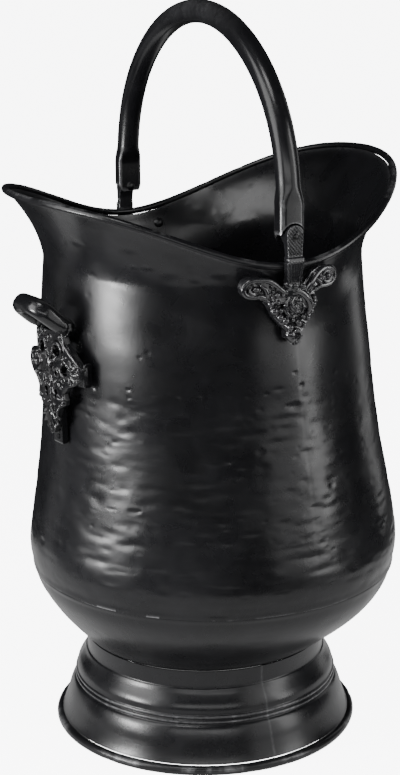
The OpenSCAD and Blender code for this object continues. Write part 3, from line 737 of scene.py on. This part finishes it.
def ear_relief():
    """Ropes, eggs and curls of one ear, as (s, z, h)."""
    w, d = 144.3, 140.4        # faces of the wings and of the drop
    out = []
    # raised rims of the two wings
    out.append(bold([(-3.4, 387.6, w - 1.6), (-7.4, 388.6, w - 0.7), (-11.6, 391.6, w), (-16, 395.3, w + 0.3),
                     (-21, 397.9, w + 0.4), (-27.5, 398.7, w + 0.4), (-33, 398.4, w + 0.5),
                     (-37.6, 395.8, w + 0.5), (-39, 391.6, w + 0.4), (-36.8, 387.8, w + 0.2),
                     (-31.5, 386.4, w), (-26, 386.5, w - 0.2), (-21.4, 384.6, w - 0.9)],
                    [1.1, 1.5, 1.5, 1.5, 1.4, 1.5, 1.7, 1.8, 1.7, 1.5, 1.3, 1.0]))
    out.append(bold([(10.6, 387.6, w - 1.4), (14.4, 392.6, w - 0.4), (18.5, 398, w), (23.3, 401.5, w + 0.3),
                     (28.8, 402.8, w + 0.5), (34.4, 401.2, w + 0.5), (36.6, 396, w + 0.5), (34.6, 391.8, w + 0.2),
                     (29.8, 390, w), (24, 389.6, w - 0.3), (19.4, 387.2, w - 0.9)],
                    [1.7, 2.0, 2.0, 1.8, 1.6, 1.7, 1.6, 1.5, 1.3, 1.2, 1.0]))
    # a rolled acanthus leaf with its eye in each wing
    out.append(bold([(-25.8, 394.6, w), (-22.8, 391.8, w + 0.7), (-21.2, 388.4, w + 0.5),
                     (-20.6, 385.4, w - 0.5)], [0.8, 1.3, 1.4, 0.9]))
    out.append(bold([(-34.6, 392.4, w), (-33.6, 389.4, w + 0.4), (-30.6, 388.6, w)], [0.8, 1.2, 0.8]))
    out.append(ball((-29.6, 391.8, w + 0.2), (2.6, 2.1, 2.0), 12))
    out.append(curl((29.8, 396.4, w), 4.2, -130, 160, [0.9, 1.5, 1.5, 0.9], 0.2))
    out.append(ball((31, 396.4, w + 0.3), (2.2, 2.6, 1.9), 12))
    out.append(bold([(20.6, 395, w), (23, 392.8, w + 0.5), (25, 391.4, w - 0.2)], [0.9, 1.3, 0.8]))
    # berries at the roots of the wings
    for s0, z0, r in ((-17.2, 393.2, 1.5), (-13.4, 391.0, 1.6), (-16.6, 389.2, 1.4), (-13.2, 386.6, 2.4),
                      (-8.6, 386.2, 1.7), (-17.4, 385.2, 1.5), (17.6, 391.2, 1.5), (19.2, 388.4, 1.3),
                      (14.8, 388, 1.6)):
        out.append(ball((s0, z0, w - 1.0), (r, r, r + 0.8), 12))
    # medallion: a heavy C open to the lower left, a thin one facing it, one curl and two beads between
    out.append(bold([(-1.6, 386.4, d + 1.8), (1.8, 388.3, d + 3), (6, 387.2, d + 3.4), (10.2, 384, d + 3.5),
                     (13.6, 379.6, d + 3.1), (15, 374.6, d + 2.2), (13.8, 370.4, d + 1)],
                    [1.3, 1.9, 2.1, 2.2, 2.1, 1.8, 1.2]))
    out.append(bold([(-2, 386, d + 1.8), (-4.6, 382.4, d + 2.4), (-5.9, 378, d + 2.4), (-5.4, 373.6, d + 2),
                     (-2.6, 370.6, d + 1.6), (1.2, 370, d + 0.6)], [0.9, 1.3, 1.4, 1.4, 1.3, 0.8]))
    out.append(bold([(1.2, 383.4, d + 2.4), (-1.4, 380.4, d + 2.9), (-1.0, 376.2, d + 2.6), (1.6, 373.4, d + 2)],
                    [0.9, 1.3, 1.3, 0.8]))
    out.append(bold([(7.4, 379.4, d + 2.6), (8.8, 375.8, d + 2.6), (7.4, 371.6, d + 2)], [0.9, 1.4, 1.0]))
    out.append(ball((4.4, 380.6, d + 3), (1.8, 1.8, 2.0), 12))
    out.append(ball((3.4, 375.2, d + 2.6), (1.6, 1.8, 1.8), 12))
    # berries of the drop, the large ones bulging past its outline
    for s0, z0, r in ((-17.6, 380.4, 3.0), (-12.0, 380.8, 2.4), (-14.8, 374.6, 3.4), (-9.4, 374.4, 2.1),
                      (-10.0, 369.6, 2.9), (-5.4, 366.8, 3.1), (-1.6, 361.4, 2.9), (5.3, 364.0, 3.1),
                      (0.6, 366.4, 1.9), (9.4, 368.2, 2.2), (10.2, 361.8, 2.2), (13.6, 366.8, 2.3),
                      (16.8, 371.6, 2.3), (19.0, 376.6, 2.2), (19.4, 381.6, 1.9), (4.2, 358.4, 1.9)):
        out.append(ball((s0, z0, d + 1.2), (r, r, 1.05 * r + 0.7), 14))
    # bud and a small leaf at the tip
    out.append(ball((1.2, 354, d - 0.2), (4.0, 4.8, 2.9), 14))
    out.append(bold([(6.4, 358, d), (8, 354.6, d + 0.6), (7, 350.8, d)], [1.0, 1.5, 0.9]))
    # band across the neck of the lug, knobs at its root
    out.append(bold([(-6.0, 412.0, 146.2), (0, 412.0, 146.8), (6.0, 412.0, 146.2)], [0.9, 1.1, 0.9]))
    out.append(ball((-3.8, 392.6, 144.8), (2.2, 2.3, 1.8), 12))
    out.append(ball((1.8, 392.4, 145), (1.9, 2.2, 1.8), 12))
    out.append(bold([(5, 392.4, 144), (8, 391.2, 144.8), (10.6, 388.6, 143.8)], [1.0, 1.6, 1.0]))
    return out


def reeded(V):
    """Fine slanting reeds in the front of the lug, and flutes down its neck."""
    x, y, z = V.T
    slant, pitch = math.radians(48), 2.0
    u = x * math.sin(slant) + (z - 425) * math.cos(slant)
    half = np.interp(z, [413.6, 421, 430, 436.8], [6.0, 6.3, 6.6, 1.0])
    mask = smooth((half - 0.5 - np.abs(x)) / 0.5) * smooth((z - 414.9) / 0.7) * smooth((436.2 - z) / 0.8)
    mask *= smooth((np.hypot(x, z - PIVOT) - 2.9) / 0.5) * (-y > LUG_R - 0.6)     # none over the pin
    want = LUG_R - 0.8 + 1.5 * (0.5 + 0.5 * np.cos(2 * np.pi * u / pitch))
    V = V.copy()
    V[:, 1] = np.where(mask > 0, y + mask * (-want - y), y)
    # upright flutes on the neck below, drawn together towards the plaque
    half = np.interp(z, [392, 403, 410], [3.6, 5.0, 6.0])
    mask = smooth((half + 0.3 - np.abs(x)) / 0.6) * smooth((z - 394) / 2) * smooth((410.6 - z) / 0.5)
    V[:, 1] -= mask * (-y > 143.6) * 1.1 * (0.5 + 0.5 * np.cos(2 * np.pi * x / (0.4 * half)))
    return V


def ears():
    """The near ear, and the far one as its mirror image."""
    V, Q, mean = fused("ear_near", ear_relief(), on_ear, EAR_VOXEL)
    # wear on proud edges, which here also paints highlights on the ridges
    wear = proud_wear_and_sheen(V, Q, mean, EAR_VOXEL, 0.3)
    V = reeded(V)
    W = V * (1, -1, 1)
    return [casting("ear_casting_near", "ear_near", V, Q, wear),
            casting("ear_casting_far", "ear_far", W, Q[:, ::-1], wear)]


# ---- rear plate: w along the wall, z up, h from the axis
REAR_AT = 188                    # degrees round the vessel of the plate's middle
PLATE_R = 143.0                  # radius at which w is measured, and the plate's face under the grip
PLATE_VOXEL, GRIP_VOXEL = 0.42, 0.45
GRIP_TILT, GRIP_Z, GRIP_SINK = 44, 355.4, 2.1


def on_rear(P):
    """From (w, z, h) to the back of the vessel."""
    q = math.radians(REAR_AT) + P[:, 0] / PLATE_R
    return np.stack([P[:, 2] * np.cos(q), P[:, 2] * np.sin(q), P[:, 1]], 1)


def plate_relief():
    """Ropes, curls and ribs of the plate, as (w, z, h)."""
    f = 142.2                    # the plate's face
    out = []
    # bead along both edges
    out.append(rope([(13, 356.5, f - 0.4), (17.4, 351.4, f), (19.2, 346.4, f + 0.2), (21, 341.2, f + 0.4),
                     (25.6, 336.6, f + 0.4), (31, 332, f + 0.2), (35.2, 327.6, f - 0.2), (36, 321.6, f - 0.4),
                     (34.6, 316.2, f - 0.4), (29.6, 312.4, f - 0.2), (22.4, 309.4, f), (17, 304, f),
                     (18.2, 298.2, f - 0.2)],
                    [1.0, 1.3, 1.5, 1.7, 1.6, 1.3, 1.2, 1.2, 1.2, 1.1, 1.1, 1.2, 1.2]))
    out.append(rope([(-13, 356.5, f - 0.4), (-17, 351.4, f), (-17.6, 345, f + 0.2), (-17, 340, f + 0.3),
                     (-17.8, 334, f + 0.2)], [1.0, 1.3, 1.4, 1.3, 1.1]))
    out.append(rope([(-22, 329.4, f), (-30, 328.8, f - 0.4), (-35.4, 325, f - 0.5), (-35.8, 318.4, f - 0.5),
                     (-30, 313.4, f - 0.4), (-22, 310, f), (-17, 304, f), (-18.2, 298.2, f - 0.2)],
                    [1.1, 1.2, 1.3, 1.3, 1.2, 1.1, 1.1, 1.2]))
    # middle stem with its leaves
    out.append(rope([(5.4, 338, f), (6, 334.8, f + 0.9), (3.4, 331.2, f + 0.9), (1.6, 327.4, f + 1.1),
                     (2.6, 321.8, f + 1), (1, 316.6, f + 0.3)], [0.9, 1.7, 1.4, 2.1, 2.0, 0.9]))
    out.append(ball((2.2, 325.2, f + 0.9), (2.9, 3.7, 2.0)))
    out.append(rope([(10.4, 331.4, f), (7.8, 328.4, f + 0.8), (4.6, 327, f + 0.9)], [0.8, 1.5, 1.2]))
    out.append(rope([(-4.2, 333.4, f), (-3.2, 329.8, f + 0.6), (-0.8, 327.4, f + 0.9)], [0.8, 1.3, 1.1]))
    # arcs round the holes: the far side is nearly plain
    out.append(curl((10.7, 336, f + 0.3), 6.1, -70, 215, [0.9, 1.5, 1.9, 1.7, 1.0]))
    out.append(curl((-10.7, 336.4, f), 6.6, 60, 235, [0.7, 1.0, 1.1, 1.0, 0.7]))
    out.append(curl((20, 322.6, f), 5.8, 120, 330, [0.9, 1.4, 1.7, 1.4, 0.9]))
    out.append(curl((8.2, 318.4, f), 3.4, 150, -60, [0.7, 1.2, 1.2, 0.7]))
    out.append(rope([(15, 331.4, f), (18, 330.6, f + 0.6), (20.4, 331.6, f + 0.2)], [0.8, 1.3, 0.8]))
    # beads and short strokes
    for w0, z0, r in ((-8.2, 347.6, 1.8), (17, 313.4, 1.6), (25, 313.6, 1.5), (-3, 317.4, 1.3), (-6, 307, 1.3),
                      (-2.6, 294, 1.2), (28, 329.6, 1.4), (24.6, 327.6, 1.2)):
        out.append(ball((w0, z0, f + 0.2), (r, r, r)))
    for path in ([(-6, 343.6), (-3.6, 341.2), (-4, 338)], [(9.6, 313), (7, 310.4), (5.6, 307.4)],
                 [(1.4, 305.2), (2.2, 301), (1, 297.4)], [(9, 301), (11.4, 298.8), (14.6, 298.2)],
                 [(12, 291.6), (10.2, 288.4), (9.6, 284.6)], [(-10, 314), (-8.4, 309.6), (-9.6, 304)],
                 [(24, 329.4), (28, 326.8), (32, 326.4)]):
        out.append(rope([(*path[0], f), (*path[1], f + 0.6), (*path[2], f)], [0.8, 1.35, 0.8]))
    # ribbed leaf on the near side lobe, the far one closed and plain
    out.append(ball((-20, 322.4, f - 1.9), (5.6, 5.6, 2.4)))
    out.append(ball((-8.4, 317.2, f - 1.9), (3.4, 3.4, 2.2)))
    out += fan((23.4, 319.6, f + 0.5), 116, 12.4, 1.35, 5, 6)
    # shell at the foot
    out += fan((1.8, 291.4, f + 0.8), 96, 16.5, 1.3, 5, -104)
    out.append(ball((2, 291.6, f + 0.4), (2.5, 2.3, 1.9)))
    out.append(rope([(0, 279, f - 0.4), (-0.4, 275, f - 0.2), (-0.4, 271.4, f - 1)], [0.9, 1.2, 0.7]))
    # rounded ends of the side feet
    for k in (-1, 1):
        out.append(rope([(36.2 * k, 314, 136.2), (36.4 * k, 320, 136.6), (36.2 * k, 325.8, 136.2)],
                        [3.4, 3.6, 3.4], 16))
    return out


def on_grip(P):
    """From the plane of the loop, x along the wall and y up the loop, to its place over the plate."""
    t, q = math.radians(90 - GRIP_TILT), math.radians(REAR_AT)
    x, y, z = P.T
    out = PLATE_R - GRIP_SINK + y * math.sin(t) + z * math.cos(t)
    return np.stack([out * math.cos(q) - x * math.sin(q), out * math.sin(q) + x * math.cos(q),
                     GRIP_Z + y * math.cos(t) - z * math.sin(t)], 1)


def grip_loop():
    """A smooth bowed loop, a little deeper than wide in section, thickest at its two shoulders."""
    half = [(17.6, -3.5, -1.8), (17.9, 3.5, 0), (17.6, 10.6, 0.6), (15.9, 18.4, 0.8), (10.6, 23.4, 0.9)]
    path = half + [(0, 24.8, 0.9)] + [(-x, y, z) for x, y, z in half[::-1]]
    thick = [5.4, 5.8, 6.0, 6.4, 6.4, 6.0, 6.4, 6.4, 6.0, 5.8, 5.4]
    return [rope([(x, y, z + d) for x, y, z in path], thick, 28, 8) for d in (-1.6, -0.8, 0, 0.8)] + [
        ball((17.7 * k, 0.4, -0.6), (6.6, 6.3, 5.8), 14) for k in (-1, 1)]


def rear_castings():
    """The pierced plate and the loop grip above it."""
    V, Q, mean = fused("rear_plate", plate_relief(), on_rear, PLATE_VOXEL, 3)
    out = [casting("rear_plate_casting", "rear_plate", V, Q, proud_wear_and_sheen(V, Q, mean, PLATE_VOXEL, 0.22))]
    V, Q, mean = fused("rear_grip", grip_loop(), on_grip, GRIP_VOXEL, 10, False)
    out.append(casting("rear_grip_casting", "rear_grip", V, Q, proud_wear_and_sheen(V, Q, mean, GRIP_VOXEL, 0.1)))
    return out


# ------------------------ materials
def painted(name, base=(0.008, 0.008, 0.0092), rough=(0.24, 0.34), peel=0.10, grain=0.12, wear_gain=1.0,
            coat=0.25, scale=1.0, spec=0.42, coat_rough=0.22):
    """Black paint: clouded and sooty colour, uneven gloss, fine bumps, and uncovered metal where worn; the same
    worn colour also paints highlights on the foot's bead crests, the ears' ridges and two chips on the barrel's
    edge.
    """
    bare_metal_and_highlight = (0.34, 0.34, 0.35)
    m = bpy.data.materials.new(name)
    m.use_nodes = True
    nt = m.node_tree
    nt.nodes.clear()
    N = nt.nodes.new
    L = nt.links.new
    out = N("ShaderNodeOutputMaterial")
    p = N("ShaderNodeBsdfPrincipled")
    p.inputs["Specular IOR Level"].default_value = spec
    p.inputs["IOR"].default_value = 1.5
    p.inputs["Coat Weight"].default_value = coat
    p.inputs["Coat Roughness"].default_value = coat_rough
    L(p.outputs[0], out.inputs["Surface"])
    co = N("ShaderNodeTexCoord")

    def noise(s, detail=4, rough=0.55, distort=0.0):
        t = N("ShaderNodeTexNoise")
        t.inputs["Scale"].default_value = s * scale
        t.inputs["Detail"].default_value = detail
        t.inputs["Roughness"].default_value = rough
        t.inputs["Distortion"].default_value = distort
        L(co.outputs["Object"], t.inputs["Vector"])
        return t

    def ramp(src, lo, hi, a=0.35, b=0.65):
        r = N("ShaderNodeMapRange")
        r.inputs["From Min"].default_value = a
        r.inputs["From Max"].default_value = b
        r.inputs["To Min"].default_value = lo
        r.inputs["To Max"].default_value = hi
        L(src, r.inputs["Value"])
        return r.outputs[0]

    def mix(fac, a, b):
        x = N("ShaderNodeMix")
        x.data_type = "RGBA"
        L(fac, x.inputs[0])
        for i, v in ((6, a), (7, b)):
            if isinstance(v, tuple):
                x.inputs[i].default_value = (*v, 1)
            else:
                L(v, x.inputs[i])
        return x.outputs[2]

    cloud = noise(14, 5, 0.6, 0.4)
    fine = noise(420, 3, 0.6)
    dark = tuple(v * 0.7 for v in base)
    lite = tuple(v * 1.5 for v in base)
    color = mix(ramp(cloud.outputs[0], 0.0, 1.0), dark, lite)
    soot = noise(46, 6, 0.65, 1.2)
    color = mix(ramp(soot.outputs[0], 0.0, 0.5, 0.52, 0.72), color, tuple(v * 2.1 for v in base))
    # wear from the mesh, broken up by noise; on some pieces the same mask also paints highlights
    at = N("ShaderNodeAttribute")
    at.attribute_name = "wear"
    rough_noise = noise(260, 4, 0.7)
    broke = N("ShaderNodeMath")
    broke.operation = "MULTIPLY"
    L(at.outputs["Fac"], broke.inputs[0])
    L(ramp(rough_noise.outputs[0], 0.55, 1.5, 0.35, 0.62), broke.inputs[1])
    worn = N("ShaderNodeMath")
    worn.operation = "MULTIPLY"
    worn.use_clamp = True
    L(broke.outputs[0], worn.inputs[0])
    worn.inputs[1].default_value = wear_gain
    color = mix(worn.outputs[0], color, bare_metal_and_highlight)
    L(color, p.inputs["Base Color"])
    met = N("ShaderNodeMath")
    met.operation = "MULTIPLY"
    L(worn.outputs[0], met.inputs[0])
    met.inputs[1].default_value = 0.8
    L(met.outputs[0], p.inputs["Metallic"])
    patch = noise(30, 5, 0.6, 0.6)
    L(ramp(patch.outputs[0], rough[0], rough[1]), p.inputs["Roughness"])
    b1 = N("ShaderNodeBump")
    b1.inputs["Strength"].default_value = peel
    b1.inputs["Distance"].default_value = 0.0006
    L(noise(210, 3, 0.5).outputs[0], b1.inputs["Height"])
    b2 = N("ShaderNodeBump")
    b2.inputs["Strength"].default_value = grain
    b2.inputs["Distance"].default_value = 0.00025
    L(fine.outputs[0], b2.inputs["Height"])
    L(b1.outputs[0], b2.inputs["Normal"])
    L(b2.outputs[0], p.inputs["Normal"])
    return m


paint_body = painted("satin_black_sheet")
paint_foot = painted("satin_black_foot", peel=0.07)
paint_bail = painted("satin_black_bail", rough=(0.2, 0.3), peel=0.05, grain=0.08)
# base a little lighter than the plate's same black paint, a painted sheen over the ears
cast_black = painted("cast_black", base=(0.014, 0.014, 0.016), rough=(0.16, 0.26), peel=0.06, grain=0.08,
                     scale=1.4, coat=0.7, spec=0.9, coat_rough=0.1)
plate_black = painted("plate_black", base=(0.008, 0.008, 0.009), rough=(0.18, 0.28), peel=0.05, grain=0.06,
                      scale=1.3, coat=0.4, spec=0.5, coat_rough=0.12, wear_gain=0.5)
pin_black = painted("pin_black", base=(0.007, 0.007, 0.008), rough=(0.3, 0.45), grain=0.2, scale=2)


def dress(ob, mat):
    """The material as the object's only one."""
    ob.data.materials.clear()
    ob.data.materials.append(mat)


dress(sheet_barrel(), paint_body)
dress(sheet_bowl(), paint_body)
dress(rim_bead(), paint_body)
dress(skirt(), paint_foot)
dress(hem(), paint_foot)
dress(bail_tube(), paint_bail)

for piece in ears():
    dress(piece, cast_black)
for piece in rear_castings():
    dress(piece, plate_black)
for node in ("ear_rivets_near", "ear_rivets_far", "rear_rivets", "grip_rivets", "pin_near", "pin_far"):
    dress(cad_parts[node], pin_black)

# ------------------------ stage and light
PALE = (0.86, 0.86, 0.87)
GLOW = 9.0                       # the floor's own even light, seen in the picture but not on the object


def sweep(name, radius, z, height, color):
    """The pale floor of a studio: flat, then rising far behind in a wall all round."""
    n = 96
    q = 2 * np.pi * np.arange(n) / n
    ring = np.stack([np.cos(q), np.sin(q)], 1) * radius
    low = np.column_stack([ring, np.full(n, z)])
    high = np.column_stack([ring, np.full(n, z + height)])
    me = bpy.data.meshes.new(name)
    wall = [(k, (k + 1) % n, n + (k + 1) % n, n + k) for k in range(n)]
    me.from_pydata(np.vstack([low, high]).tolist(), [], [tuple(range(n))] + wall)
    ob = bpy.data.objects.new(name, me)
    bpy.context.scene.collection.objects.link(ob)
    m = bpy.data.materials.new(name)
    m.use_nodes = True
    p = m.node_tree.nodes["Principled BSDF"]
    p.inputs["Base Color"].default_value = (*color, 1)
    p.inputs["Roughness"].default_value = 0.9
    p.inputs["Specular IOR Level"].default_value = 0.0
    p.inputs["Emission Color"].default_value = (*color, 1)
    p.inputs["Emission Strength"].default_value = GLOW
    dress(ob, m)
    return ob


floor = sweep("floor", 24.0, -0.0006, 30.0, PALE)
floor.visible_glossy = False
floor.visible_diffuse = False


def softbox(name, where, look, size, power):
    """A rectangular light at one place, turned to another."""
    d = bpy.data.lights.new(name, "AREA")
    d.shape = "RECTANGLE"
    d.size, d.size_y = size
    d.energy = power
    ob = bpy.data.objects.new(name, d)
    bpy.context.scene.collection.objects.link(ob)
    ob.location = where
    ob.rotation_euler = (Vector(look) - Vector(where)).to_track_quat("-Z", "Y").to_euler()
    ob.visible_camera = False


def around(angle, dist, z):
    """A place round the object: angle to the right of the camera's own direction, seen from the object."""
    q = AZ + math.radians(270 + angle)
    return (dist * math.cos(q), dist * math.sin(q), z)


softbox("key", around(-62, 1.0, 0.70), (0, 0, 0.40), (0.72, 1.15), 10.5)
softbox("hot", around(-61, 1.0, 0.28), (0, 0, 0.39), (0.26, 0.14), 5.0)
softbox("fill", around(69, 1.1, 0.55), (0, 0, 0.35), (0.30, 1.0), 4.2)
softbox("fill_wide", around(50, 1.1, 0.55), (0, 0, 0.35), (0.62, 1.0), 2.0)
softbox("edge", around(128, 1.2, 0.45), (0, 0, 0.35), (0.30, 1.0), 0.75)
softbox("sky", around(0, 1.7, 0.74), (0, 0, 0.05), (1.8, 0.34), 5)
softbox("top", around(-25, 0.9, 1.9), (0, 0, 0.35), (0.5, 0.5), 5.5)
softbox("rear", around(-112, 1.1, 0.10), (0, 0, 0.3), (0.30, 0.6), 0.12)
softbox("bounce", (0, 0, 0.0005), (0, 0, 1), (1.1, 1.1), 2.6)

world = bpy.data.worlds.new("studio")
bpy.context.scene.world = world
world.use_nodes = True
world.node_tree.nodes["Background"].inputs[0].default_value = (0.9, 0.93, 1.0, 1)
world.node_tree.nodes["Background"].inputs[1].default_value = 0.02
